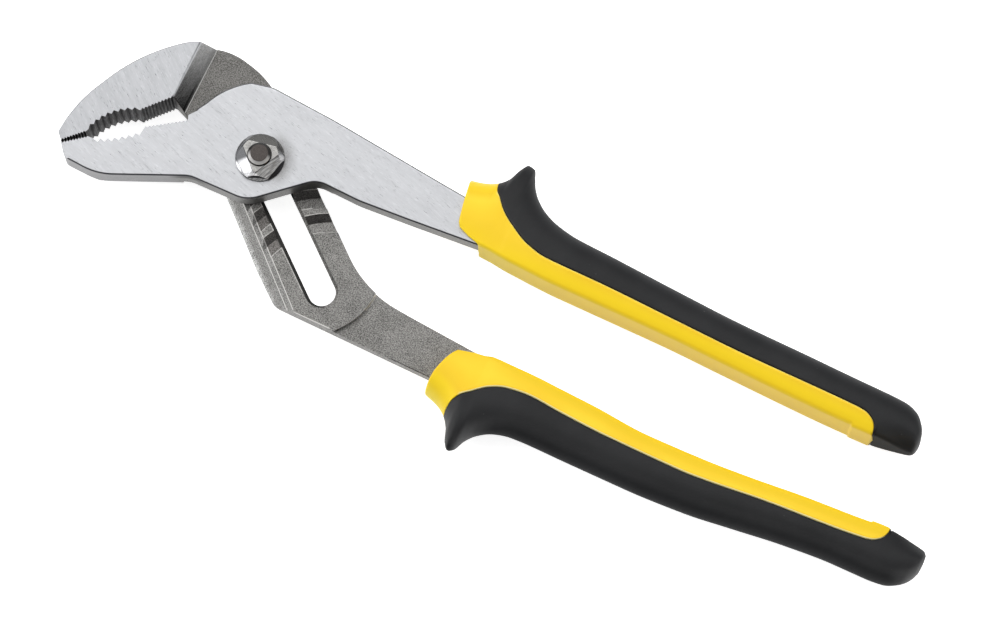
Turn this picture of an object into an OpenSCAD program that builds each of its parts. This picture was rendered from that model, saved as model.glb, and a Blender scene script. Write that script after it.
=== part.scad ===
// Water pump pliers: two forged arms on one sliding bolt, with two-colour moulded grips.
// Millimetres. The bolt's axis is Z at the origin, the resting plane is z = 0, the jaws point
// to -X and the handles to +X. The arms are drawn with the jaws closed at the first groove.

/* [Arms] */
// Thickness of both jaws, from back face to front face
jaw_t = 11; // [10:0.25:12]
// Thickness of the front arm's plate over the lap
front_t = 5.5; // [5:0.1:6]
// Working gap between the two arms at the lap
lap_gap = 0.05; // [0.03:0.01:0.1]
// Radius of the front arm's boss round the bolt
boss_r = 21.9; // [20.8:0.1:22.3]
// Radius of the lower jaw's shoulder round the bolt
shoulder_r = 21.8; // [21:0.1:22.4]
// Clearance of the lower jaw's shoulder from the slotted arm's edge
shoulder_gap = 0.6; // [0.4:0.1:1]
// Height of the bevel under the lower jaw
under_h = 4; // [3:0.1:5]
// Depth of that bevel into the jaw
under_w = 2.2; // [1.6:0.1:2.6]
// X of the upper jaw's polished face where its bevel starts
bevel_x = -29.4; // [-30:0.1:-29]
// X of the foot of that bevel on the lap
bevel_foot_x = -25.6; // [-26:0.1:-25.4]

/* [Slot and grooves] */
// Angle of the slot below the handle axis
slot_angle = 40; // [38.5:0.5:41.5]
// Width of the through slot that guides the bolt's neck
slot_w = 7.2; // [6.8:0.1:7.6]
// Width of the shallow recess round the slot's front
recess_w = 9.2; // [8.8:0.1:9.8]
// Depth of that recess
recess_depth = 2; // [1.5:0.1:2.5]
// Distance from the first bolt station to the centre of the slot's lower end
slot_end = 40; // [36:0.5:41]
// Distance from the slot's axis to the arm's outer edge
band_outer = 11.1; // [10.5:0.1:11.8]
// Distance from the slot's axis to the arm's inner edge, at the back
band_inner = 13; // [12.4:0.1:13.4]
// Distance from the slot's axis to the inner edge of the raised pad, at its middle
pad_edge = 8.3; // [7.9:0.1:8.7]
// Distance from the slot's axis to the ridge below that edge
ridge_edge = 9.8; // [9.3:0.1:10.4]
// Drop from the pad to that ridge
ridge_drop = 1.4; // [1.2:0.1:1.8]
// How much both lines lean outward per length along the slot
edge_lean = 0.045; // [0.02:0.005:0.05]
// Drop from the raised pad to the handle end of the slotted arm
pad_step = 1.2; // [0.8:0.1:1.5]
// Radius of the pad's lower end round the last used station
pad_r = 21.5; // [20.5:0.1:22]
// Distance between groove stations along the slot
groove_pitch = 7.5; // [6.8:0.1:7.6]
// Distance from each bolt station up to the top of its groove
groove_r = 19.15; // [18.8:0.05:19.5]
// How far the centre of a groove's arc lies below its bolt station
groove_bow = 7.5; // [6.5:0.1:8]
// Width of each groove
groove_w = 5.2; // [5:0.1:5.5]
// Width of the slope on the groove's upper side
groove_slope = 2.2; // [1.9:0.1:2.5]
// Depth of each groove
groove_depth = 1.3; // [1:0.1:1.6]
// Side clearance of the tongue in a groove
tongue_gap = 0.3; // [0.2:0.05:0.5]
// Clearance under the tongue
tongue_lift = 0.2; // [0.1:0.05:0.3]
// Width of the tongue across the slot
tongue_w = 5.2; // [4.4:0.1:6]

/* [Pivot] */
// Diameter of the bolt's shank
shank_d = 6.4; // [5.8:0.1:6.8]
// Radial running clearance of the shank in the front arm
bore_gap = 0.05; // [0.02:0.01:0.1]
// Clearance of the bolt's flat neck on each side of the slot
neck_gap = 0.05; // [0.03:0.01:0.1]
// Length of the neck along the slot
neck_l = 9.6; // [8.6:0.1:9.8]
// Diameter of the bolt's head
head_d = 15; // [13:0.5:17]
// Thickness of the bolt's head, which sets the arms above the resting plane
head_t = 3; // [2.6:0.1:3.4]
// Gap between the head and the slotted arm
head_gap = 0.05; // [0.03:0.01:0.1]
// Width of the nut across its flats
nut_flats = 11.7; // [11:0.1:13]
// Height of the nut
nut_h = 4.1; // [3.6:0.1:4.8]
// Diameter of the nut's chamfered top
nut_top_d = 9.4; // [8.8:0.1:10.2]
// Turn of the nut's corners about the bolt
nut_turn = 18; // [0:1:60]
// Distance from the bolt's axis to the three pressed flats of the nut, at its top
nut_press = 2.6; // [2.2:0.1:3]
// Slope of those flats from the upright
nut_press_slope = 50; // [46:1:54]
// Turn of those flats about the bolt
nut_press_turn = 97; // [0:1:119]
// Gap between the nut and the front arm
nut_gap = 0.05; // [0.03:0.01:0.1]
// How far the bolt's end stands out of the nut
bolt_proud = 0.5; // [0.3:0.1:1]
// Chamfer on the bolt's end
bolt_chamfer = 0.8; // [0.5:0.1:1.2]

/* [Grips] */
// Distance from the bolt to the end of the upper grip, along the handle
upper_reach = 195; // [185:1:205]
// Distance from the bolt to the end of the lower grip, along the handle
lower_reach = 208.7; // [198.7:1:218.7]
// Thickness of the grips at their crown
grip_t = 17; // [16.6:0.1:18]
// Thickness of the soft cover over the hard core
cover_t = 1.3; // [1:0.05:1.4]
// Height of a grip's flat inner side as a share of its thickness
side_share = 0.78; // [0.76:0.01:0.84]

/* [Hidden] */
$fn = 72;
z_back = head_t;
z_front = z_back + jaw_t;
z_lap = z_front - front_t;
z_pad = z_lap - lap_gap;
z_tang = z_pad - pad_step;
z_grip = grip_t / 2;
grip_scale = grip_t / 17;
station_last = 4;
bore_d = shank_d + 2 * bore_gap;
far = 400;
arc_steps = 10;
boss_from = 158;
boss_to = 122;
upper_crown = 17;
lower_crown = -41;
upper_inner_start = 66;
lower_inner_start = 80;
grip_root = 90;

// A point given along and across the slot
function on_slot(l, w) = [
    l * cos(slot_angle) + w * sin(slot_angle),
    w * cos(slot_angle) - l * sin(slot_angle)
];
function unit(v) = v / norm(v);
function flat(p) = [p[0], p[1]];

// One corner of an outline, rounded to radius r
function corner(a, b, c, r) =
    r == 0 ? [b] :
    let (
        u = unit(a - b),
        v = unit(c - b),
        half = acos(u * v) / 2,
        o = b + unit(u + v) * r / sin(half),
        p = b + u * r / tan(half),
        q = b + v * r / tan(half),
        a0 = atan2(p[1] - o[1], p[0] - o[0]),
        a1 = atan2(q[1] - o[1], q[0] - o[0]),
        turn = (a1 - a0 + 900) % 360 - 180
    )
    [for (i = [0 : arc_steps]) o + r * [cos(a0 + turn * i / arc_steps), sin(a0 + turn * i / arc_steps)]];

// A closed outline whose points are [x, y, corner radius]
function rounded(pts) = [
    for (i = [0 : len(pts) - 1])
        let (n = len(pts))
        each corner(flat(pts[(i + n - 1) % n]), flat(pts[i]), flat(pts[(i + 1) % n]), pts[i][2])
];
function sharp(pts) = [for (p = pts) [p[0], p[1], 0]];

// A row of n teeth from p to q, cut to the right of that line and bowed that way
function row(p, q, n, depth, bow = 0) =
    let (side = [unit(q - p)[1], -unit(q - p)[0]])
    [
        for (i = [0 : 2 * n])
            let (s = i / (2 * n))
            p + (q - p) * s + side * (bow * 4 * s * (1 - s) + (i % 2 == 1 ? depth : 0))
    ];
function arc(r, a0, a1) = [for (i = [0 : 2 * arc_steps]) r * [
    cos(a0 + (a1 - a0) * i / (2 * arc_steps)),
    sin(a0 + (a1 - a0) * i / (2 * arc_steps))
]];

// The handle's points beyond the thumb stop, moved so that the grip drawn by rows ends at reach
function laid(pts, rows, reach) = [
    for (p = pts)
        let (stretch = (reach - grip_root) / (rows[len(rows) - 1][0] - grip_root))
        p[0] <= grip_root ? p : [
            for (i = [0 : len(p) - 1]) i == 0 ? grip_root + (p[0] - grip_root) * stretch : p[i]
        ]
];

// Handle ends of the arms, which the grips are moulded round
front_tang = [
    [45, 14.9], [66, 12.6], [70, 11.4], [166, 8.4],
    [166, 3.8], [70, 4.9], [66.5, 2.85], [45, 1.25]
];
slotted_tang = [
    [56, -21.7], [77.5, -23.4], [81, -26.5], [128, -29.6], [166, -28.8],
    [166, -33.2], [128, -35.8], [100, -35.6], [70, -34.9], [56, -34.65]
];

function front_outline() = rounded(concat(
    [[-22.7, 1.5, 0], [-23.2, 2.7, 0.7], [-21.8, 5.6, 6]],
    sharp(arc(boss_r, boss_from, boss_to)),
    [[-5.6, 19.9, 8], [14, 18.4, 50]],
    sharp(laid(front_tang, upper_rows, upper_reach)),
    [[30, 0.3, 30], [16.8, 0.8, 7], [1.9, -12.5, 9], [-15.2, -12.7, 8], [-38.4, -23, 18]],
    [[-48.7, -22.3, 3], [-51.4, -18.9, 0]],
    sharp(row([-51.3, -18.75], [-45.6, -14.3], 9, 0.42)),
    sharp(row([-43.8, -14.2], [-32.6, -6.6], 7, 0.95, 0.7)),
    sharp(row([-32.4, -5], [-22.9, 1.4], 11, 0.36))
));

function slotted_outline() = rounded(concat(
    [[-51.6, -18.4, 0], [-53.4, -16.5, 0.8], [-52.8, -7, 38], [-43.4, 12.7, 50], [-31.9, 22.6, 16]],
    [[-22.3, 25.8, 18], concat(on_slot(-22.2, band_outer + 0.95), 27)],
    [concat(on_slot(-6, band_outer + 0.8), 40), concat(on_slot(12, band_outer), 40), [41.2, -20.3, 32]],
    sharp(laid(slotted_tang, lower_rows, lower_reach)),
    [concat(on_slot(37.5, -band_inner), 5), concat(on_slot(-10, -band_inner - 1.6), 0)],
    [concat(on_slot(-22, -band_inner), 0)],
    sharp(row([-29.1, 5.8], [-35.6, -1.4], 10, 0.45)),
    sharp(row([-36, -1.6], [-46.2, -12.4], 8, 0.8, 1.8)),
    sharp(row([-46.6, -13.4], [-51.5, -18.3], 9, 0.42))
));

module slot_frame() {
    rotate([0, 0, -slot_angle]) children();
}

// A slot of width w from l0 to l1, round at the ends, cut down to z0
module slot_cut(w, l0, l1, z0) {
    translate([l0, -w / 2, z0]) cube([l1 - l0, w, far]);
    translate([l0, 0, z0]) cylinder(d = w, h = far);
    translate([l1, 0, z0]) cylinder(d = w, h = far);
}

// Part of a ring with the given section, centred on the slot's upward direction
module ring_part(section, half_angle) {
    rotate([0, 0, 180 - half_angle]) rotate_extrude(angle = 2 * half_angle) polygon(section);
}

// A bevel cut along the lower back edge from p to q
module under_bevel(p, q) {
    lead = under_h / under_w;
    translate(p) rotate([0, 0, atan2(q[1] - p[1], q[0] - p[0])])
        translate([-2, 0, z_back]) rotate([90, 0, 90]) linear_extrude(norm(q - p) + 4) polygon([
            [1, under_h + lead], [-under_w - 1 / lead, -1], [3, -1], [3, under_h + lead]
        ]);
}

// The two bevels down the slotted arm's inner edge, which lean outward along the slot
module edge_bevel(l0, l1) {
    middle = 25;
    ridge_z = z_pad - ridge_drop;
    foot_z = z_back + 0.4;
    fall = (ridge_z - foot_z) / (band_inner - ridge_edge);
    translate([middle, 0, 0]) rotate([0, 0, -atan(edge_lean)])
        translate([l0 - middle, 0, 0]) rotate([90, 0, 90]) linear_extrude(l1 - l0) polygon([
            [-pad_edge, z_pad + 0.01], [-ridge_edge, ridge_z], [-band_inner - 4, foot_z - 4 * fall],
            [-band_inner - 9, foot_z - 4 * fall], [-band_inner - 9, z_pad + 0.01]
        ]);
}

// Forged lower jaw, boss and handle in one piece, with the locking tongue behind the boss
module front_arm() {
    color([0.78, 0.79, 0.8]) difference() {
        union() {
            difference() {
                translate([0, 0, z_back]) linear_extrude(jaw_t) polygon(front_outline());
                translate([0, 0, z_back - 1]) cylinder(r = shoulder_r, h = z_lap - z_back + 1);
                slot_frame()
                    translate([-far / 2, -band_inner - shoulder_gap, z_back - 1])
                        cube([far, far, z_lap - z_back + 1]);
            }
            slot_frame() intersection() {
                ring_part([
                    [groove_r - groove_w + 1.8, z_pad - groove_depth + tongue_lift],
                    [groove_r - groove_slope - tongue_gap, z_pad - groove_depth + tongue_lift],
                    [groove_r - 2 * tongue_gap, z_pad], [groove_r - 2 * tongue_gap, z_lap + 1],
                    [groove_r - groove_w + 1.8, z_lap + 1]
                ], 30);
                translate([-far, -tongue_w / 2, 0]) cube([far, tongue_w, far]);
            }
        }
        cylinder(d = bore_d, h = far);
        under_bevel([-19.4, -14.17], [-38.6, -22.6]);
        under_bevel([-38.6, -22.6], [-49.3, -22.4]);
        under_bevel([-49.3, -22.4], [-51.5, -18.9]);
    }
}

// Forged upper jaw, slotted and grooved pad and handle in one piece
module slotted_arm() {
    color([0.6, 0.59, 0.57]) difference() {
        translate([0, 0, z_back]) linear_extrude(jaw_t) polygon(slotted_outline());
        // The lap, with the bevel that leads up to the polished jaw
        translate([0, far / 2, 0]) rotate([90, 0, 0]) linear_extrude(far) polygon([
            [bevel_x, z_front], [bevel_foot_x, z_pad], [far, z_pad], [far, far], [bevel_x, far]
        ]);
        // The handle end lies lower than the pad
        difference() {
            slot_frame() translate([station_last * groove_pitch, -far / 2, z_tang]) cube(far);
            slot_frame() translate([station_last * groove_pitch, 0, 0]) cylinder(r = pad_r, h = far);
        }
        // The two bevels down the inner edge
        slot_frame() edge_bevel(-18, 52);
        for (k = [0 : station_last + 1])
            slot_frame() translate([k * groove_pitch + groove_bow, 0, 0]) ring_part([
                [groove_r + groove_bow - groove_w, z_pad - groove_depth],
                [groove_r + groove_bow - groove_slope, z_pad - groove_depth],
                [groove_r + groove_bow + groove_slope / 2, z_pad + groove_depth / 2],
                [groove_r + groove_bow - groove_w, z_pad + groove_depth / 2]
            ], 36);
        slot_frame() slot_cut(slot_w, -neck_l / 3, slot_end, 0);
        slot_frame() slot_cut(recess_w, -groove_r - 0.8 + recess_w / 2, slot_end, z_pad - recess_depth);
    }
}

// Turned bolt: flat head behind, flat-sided neck in the slot, round shank and chamfered end
module pivot_bolt() {
    top = z_front + nut_gap + nut_h + bolt_proud;
    color([0.45, 0.45, 0.46]) union() {
        rotate_extrude() polygon([
            [0, 0], [head_d / 2 - 0.8, 0], [head_d / 2, 0.8],
            [head_d / 2, head_t - 0.9], [head_d / 2 - 0.5, head_t - head_gap], [0, head_t - head_gap]
        ]);
        slot_frame() intersection() {
            cylinder(d = neck_l, h = z_pad - 0.1);
            translate([-neck_l, neck_gap - slot_w / 2, 1]) cube([2 * neck_l, slot_w - 2 * neck_gap, far]);
        }
        cylinder(d = shank_d, h = top - bolt_chamfer);
        translate([0, 0, top - bolt_chamfer])
            cylinder(d1 = shank_d, d2 = shank_d - 2 * bolt_chamfer, h = bolt_chamfer);
    }
}

// Hexagon nut with a round foot and a steep chamfer, its top pressed in on three sides to lock it
module pivot_nut() {
    corner_d = nut_flats / cos(30);
    color([0.7, 0.7, 0.72]) translate([0, 0, z_front + nut_gap]) difference() {
        union() {
            cylinder(d = corner_d, h = 0.8);
            intersection() {
                rotate([0, 0, nut_turn]) cylinder(d = corner_d, h = nut_h, $fn = 6);
                rotate_extrude() polygon([
                    [0, 0], [corner_d / 2 + 0.01, 0], [corner_d / 2 + 0.01, nut_h * 0.3],
                    [nut_top_d / 2, nut_h], [0, nut_h]
                ]);
            }
        }
        translate([0, 0, -1]) cylinder(d = shank_d, h = nut_h + 2);
        for (i = [0 : 2])
            rotate([0, 0, nut_press_turn + 120 * i]) translate([nut_press, 0, nut_h])
                rotate([0, -nut_press_slope, 0]) translate([0, -nut_flats, -far / 2])
                    cube([nut_flats, 2 * nut_flats, far]);
    }
}

// Height of a grip's section at share u of its width, from the flat inner side to the round outer one
function crown(u) = u < 0.45 ?
    1 - (1 - side_share) * pow(1 - u / 0.45, 2) :
    sqrt(max(0, 1 - pow((u - 0.45) / 0.55, 2.4)));
function section_half(n) = [for (i = [0 : n]) 1 - pow(cos(90 * i / n), 1.35)];

// A closed skin through sections [x, inner y, outer y, half thickness], shrunk by inset,
// with the outer side held inside limit
module grip_skin(rows, inset, limit) {
    side = section_half(9);
    m = len(side);
    n = 2 * m - 1;
    function width(s) =
        let (sign = s[2] > s[1] ? 1 : -1)
        [s[1] + sign * inset, sign * min(sign * (s[2] - sign * inset), sign * limit)];
    function ring(s) = [
        for (j = [0 : n - 1])
            let (
                w = width(s),
                u = j < m ? side[j] : side[n - 1 - j],
                z = (s[3] * grip_scale - inset) * crown(u) * (j < m ? 1 : -1)
            )
            [s[0], w[0] + (w[1] - w[0]) * u, z_grip + z]
    ];
    flip = rows[0][2] > rows[0][1];
    points = [for (s = rows) each ring(s)];
    quads = [
        for (i = [0 : len(rows) - 2], j = [0 : n - 1])
            let (a = i * n + j, b = i * n + (j + 1) % n)
            each [[a, b, b + n], [a, b + n, a + n]]
    ];
    first = [[for (j = [0 : n - 1]) n - 1 - j]];
    last = [[for (j = [0 : n - 1]) (len(rows) - 1) * n + j]];
    faces = concat(quads, first, last);
    polyhedron(points, flip ? faces : [for (f = faces) [for (k = [len(f) - 1 : -1 : 0]) f[k]]]);
}

upper_rows = [
    [53, 2.6, 19.5, 7.3], [58, 2.6, 20.6, 7.3], [61.5, 2.6, 22.2, 7.4], [64, 2.6, 24.8, 7.6],
    [65.5, 2.55, 28.4, 7.8], [67, 2.5, 30.4, 7.9], [68.9, 2.35, 30, 8], [70, 2.2, 27.8, 8],
    [71.3, 2.05, 25.2, 8.1], [73.6, 1.8, 22.4, 8.1], [77, 1.6, 19.9, 8.2], [81, 1.35, 18.2, 8.3],
    [88, 1.05, 16.8, 8.4], [98, 1, 16.2, 8.5], [120, 0.85, 14.7, 8.5], [138, 0.25, 13.7, 8.5],
    [157, -0.4, 13.3, 8.5], [172, -0.7, 12.9, 8.5], [182, -0.6, 12.7, 8.5], [187, -0.4, 12.4, 8.4],
    [190.8, -0.2, 11.1, 7.9], [193.2, 0.1, 8.6, 6.9], [194.5, 0.7, 6.2, 5.2], [195, 1.5, 4.5, 3]
];
// The line between the hard and the soft plastic, as seen from the front
upper_line = [
    [61.6, 34], [61.9, 21.5], [64.2, 17.2], [67.1, 13.8], [71, 11], [76.8, 8], [83, 6.6], [99.7, 6.3],
    [123, 5.4], [142, 4.7], [175, 4.3], [178, 4], [180.2, 3], [181.7, 1.4], [182.4, -0.6], [182.4, -9]
];
upper_collar = [[64.6, -9], [64.2, 3.2], [58.2, 4.5], [57, 6], [55.1, 13.4], [54.4, 20], [54.2, 34]];

lower_rows = [
    [67, -24, -39.4, 7.4], [70, -24, -40.3, 7.4], [73, -23.9, -41.4, 7.5], [75.5, -23.8, -43.2, 7.6],
    [77.5, -23.8, -46, 7.7], [79, -23.8, -49.8, 7.8], [80.5, -23.8, -51.3, 7.8], [82, -23.8, -50.4, 7.9],
    [83.3, -23.8, -47.5, 8], [85.6, -23.85, -44.6, 8.1], [89.8, -23.9, -42, 8.2], [94.5, -24, -40.9, 8.4],
    [100, -24.3, -40.7, 8.5], [112, -24.9, -40.8, 8.5], [128, -26.1, -40.8, 8.5], [145, -25.8, -40.1, 8.5],
    [158, -25, -38.6, 8.5], [173, -23.7, -36.8, 8.5], [187, -22.9, -35.9, 8.5], [196, -22.3, -35.9, 8.4],
    [201, -22.4, -35.5, 8.2], [205, -22.6, -33.7, 7.3], [207.6, -23, -31, 5.8], [208.7, -24, -28.9, 3.6]
];
lower_line = [
    [75.4, -56], [75.7, -43.2], [76.4, -39.8], [80.3, -35.4], [84.2, -32.4], [88.6, -30.7], [94.7, -30.1],
    [104.6, -30.9], [118, -31.6], [140, -31.8], [147, -31.4], [163, -29.9], [191, -28], [193.4, -27.5],
    [195.4, -26.2], [196.6, -24.3], [197, -14]
];
lower_collar = [[79.8, -14], [79.4, -24.2], [73.5, -24.9], [71.6, -26.6], [69.3, -32.9], [68.5, -37.4], [68.5, -56]];

function reversed(v) = [for (i = [len(v) - 1 : -1 : 0]) v[i]];
module plan_cut(pts) {
    translate([0, 0, -far / 2]) linear_extrude(far) polygon(pts);
}
module hard_core(rows, line, collar, limit, start) {
    union() {
        intersection() {
            grip_skin(rows, 0, far * sign(limit));
            plan_cut(concat(line, collar));
        }
        grip_skin([for (s = rows) if (s[0] >= start && s[3] > 4) s], cover_t, limit);
    }
}
module soft_cover(rows, line, limit, start) {
    difference() {
        intersection() {
            grip_skin(rows, 0, far * sign(limit));
            plan_cut(concat(line, [[far, line[len(line) - 1][1]], [far, line[0][1]]]));
        }
        grip_skin([for (s = rows) if (s[0] >= start && s[3] > 4) s], cover_t, limit);
    }
}

// Hard plastic sleeve moulded round the front arm's handle end
module upper_grip_core() {
    color([0.98, 0.8, 0.1]) difference() {
        hard_core(
            laid(upper_rows, upper_rows, upper_reach), laid(upper_line, upper_rows, upper_reach),
            upper_collar, upper_crown, upper_inner_start
        );
        translate([0, 0, z_lap]) linear_extrude(front_t) polygon(laid(front_tang, upper_rows, upper_reach));
    }
}
// Soft cover moulded over that sleeve, with the thumb stop
module upper_grip_cover() {
    color([0.15, 0.15, 0.15]) soft_cover(
        laid(upper_rows, upper_rows, upper_reach), laid(upper_line, upper_rows, upper_reach),
        upper_crown, upper_inner_start
    );
}
// Hard plastic sleeve moulded round the slotted arm's handle end
module lower_grip_core() {
    color([0.98, 0.8, 0.1]) difference() {
        hard_core(
            laid(lower_rows, lower_rows, lower_reach), laid(lower_line, lower_rows, lower_reach),
            lower_collar, lower_crown, lower_inner_start
        );
        translate([0, 0, z_back]) linear_extrude(z_tang - z_back)
            polygon(laid(slotted_tang, lower_rows, lower_reach));
    }
}
// Soft cover moulded over that sleeve, with the thumb stop
module lower_grip_cover() {
    color([0.15, 0.15, 0.15]) soft_cover(
        laid(lower_rows, lower_rows, lower_reach), laid(lower_line, lower_rows, lower_reach),
        lower_crown, lower_inner_start
    );
}

front_arm();
slotted_arm();
pivot_bolt();
pivot_nut();
upper_grip_core();
upper_grip_cover();
lower_grip_core();
lower_grip_cover();
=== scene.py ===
import math
from bisect import bisect_right

import bmesh
import bpy
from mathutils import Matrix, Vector


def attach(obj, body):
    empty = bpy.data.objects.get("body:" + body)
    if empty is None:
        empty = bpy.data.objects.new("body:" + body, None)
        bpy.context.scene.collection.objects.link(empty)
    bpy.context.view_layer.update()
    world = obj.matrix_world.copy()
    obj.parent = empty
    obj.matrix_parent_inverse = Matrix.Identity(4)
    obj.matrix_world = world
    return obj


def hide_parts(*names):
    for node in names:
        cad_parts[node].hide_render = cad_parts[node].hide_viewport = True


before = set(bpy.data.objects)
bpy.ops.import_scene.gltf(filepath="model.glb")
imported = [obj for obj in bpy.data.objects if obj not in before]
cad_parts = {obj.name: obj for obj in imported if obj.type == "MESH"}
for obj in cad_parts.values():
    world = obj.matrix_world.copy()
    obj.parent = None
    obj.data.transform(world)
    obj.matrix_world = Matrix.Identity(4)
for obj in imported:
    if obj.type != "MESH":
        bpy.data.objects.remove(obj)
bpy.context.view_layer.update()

scene = bpy.context.scene
scene.view_settings.view_transform = "Standard"


# Camera
# The tool lies on its back with the handles to the right, and the camera looks down on its
# polished face from a metre away, turned 25 degrees and leaning 15 degrees towards the lower grip.
camera_turn = math.radians(25)
camera_lean = math.radians(15.2)
camera_far = 1.0
looked_at = Vector((0.0770, -0.0102, 0.0085))
camera_back = Vector((math.sin(camera_turn) * math.sin(camera_lean),
                      -math.cos(camera_turn) * math.sin(camera_lean),
                      math.cos(camera_lean)))
camera_data = bpy.data.cameras.new("bench_camera")
camera_data.sensor_fit = "HORIZONTAL"
camera_data.sensor_width = 36
camera_data.lens = 132.65
camera = bpy.data.objects.new("bench_camera", camera_data)
camera.location = looked_at + camera_back * camera_far
camera.rotation_euler = (camera_lean, 0, camera_turn)
scene.collection.objects.link(camera)
scene.camera = camera


# Floor and light
# A white sheet of card under the tool, a wide soft box overhead and an even pale room.
# The card shows white to the eye and to the steel, and the tool's shadow on it stays faint.
def work_on(new_tree):
    """Empties a node tree and picks it as the one that all the node helpers below add to."""
    global tree
    tree = new_tree
    tree.nodes.clear()


def put(kind, named=None, plain=(), **traits):
    """Adds one node. Each input is given by name or by its number, as a value or as a socket."""
    node = tree.nodes.new("ShaderNode" + kind)
    for trait, value in traits.items():
        setattr(node, trait, value)
    given = list(enumerate(plain)) + list((named or {}).items())
    for key, value in given:
        if isinstance(value, bpy.types.NodeSocket):
            tree.links.new(value, node.inputs[key])
        else:
            node.inputs[key].default_value = value
    return node


def calc(kind, first, second=0.0, clamp=False):
    return put("Math", plain=(first, second), operation=kind, use_clamp=clamp).outputs[0]


def span(value, low, high, start=0.0, stop=1.0):
    """Eases from start to stop while the value goes from low to high."""
    ends = {"Value": value, "From Min": low, "From Max": high, "To Min": start, "To Max": stop}
    return put("MapRange", ends, interpolation_type="SMOOTHSTEP").outputs["Result"]


def eased(share, first, second):
    """A blend of two plain values."""
    return put("Mix", {0: share, 2: first, 3: second}, data_type="FLOAT").outputs[0]


def measured(place, direction):
    """How far a place lies, or how much a surface faces, along a direction."""
    return put("VectorMath", plain=(place, direction), operation="DOT_PRODUCT").outputs["Value"]


card_half = 6.0
card_gap = 0.0002
card_mesh = bpy.data.meshes.new("white_card")
card_mesh.from_pydata([(-card_half, -card_half, 0), (card_half, -card_half, 0),
                       (card_half, card_half, 0), (-card_half, card_half, 0)], [], [(0, 1, 2, 3)])
card = bpy.data.objects.new("white_card", card_mesh)
card.location = (looked_at.x, looked_at.y, -card_gap)
scene.collection.objects.link(card)
card_look = bpy.data.materials.new("white_card")
card_look.use_nodes = True
work_on(card_look.node_tree)
ray = put("LightPath").outputs
seen = calc("MAXIMUM", ray["Is Camera Ray"], ray["Is Glossy Ray"])
seen = calc("MAXIMUM", seen, ray["Is Transmission Ray"])
paper = put("BsdfDiffuse", {"Color": (0.82, 0.82, 0.82, 1)})
glow = put("Emission", {"Color": (1, 1, 1, 1), "Strength": calc("MULTIPLY", seen, 0.85)})
card_sum = put("AddShader", plain=(paper.outputs[0], glow.outputs[0]))
put("OutputMaterial", {"Surface": card_sum.outputs[0]})
card_mesh.materials.append(card_look)

# The room is pale along the walls and behind the tool, and dark above the person at the bench.
away = Vector((-math.sin(camera_turn), math.cos(camera_turn), 0))
across = Vector((math.cos(camera_turn), math.sin(camera_turn), 0))
up = Vector((0, 0, 1))
room = bpy.data.worlds.new("pale_room")
room.use_nodes = True
work_on(room.node_tree)
way = put("TexCoord").outputs["Generated"]
ceiling = span(measured(way, away), -0.5, 0.1, 0.05, 0.42)
walls = span(measured(way, up), 0.48, 0.18)
room_air = put("Background", {"Color": (1, 1, 1, 1), "Strength": eased(walls, ceiling, 0.95)})
put("OutputWorld", {"Surface": room_air.outputs[0]})
scene.world = room

for lamp_name, place, breadth, depth, brightness in (
        ("overhead_box", away * 0.44 + up * 1.22, 1.6, 1.2, 0.75),
        ("back_box", away * 1.10 + up * 0.90, 1.6, 0.8, 2.2),
        ("left_box", away * 0.20 - across * 1.10 + up * 0.85, 0.9, 0.9, 2.8),
        ("right_box", away * 0.25 + across * 1.15 + up * 0.85, 0.9, 0.9, 2.2)):
    lamp_data = bpy.data.lights.new(lamp_name, "AREA")
    lamp_data.shape = "RECTANGLE"
    lamp_data.size = breadth
    lamp_data.size_y = depth
    lamp_data.energy = brightness * math.pi * breadth * depth
    lamp = bpy.data.objects.new(lamp_name, lamp_data)
    lamp.location = looked_at + place
    lamp.rotation_euler = (-place).to_track_quat("-Z", "Y").to_euler()
    scene.collection.objects.link(lamp)


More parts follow.
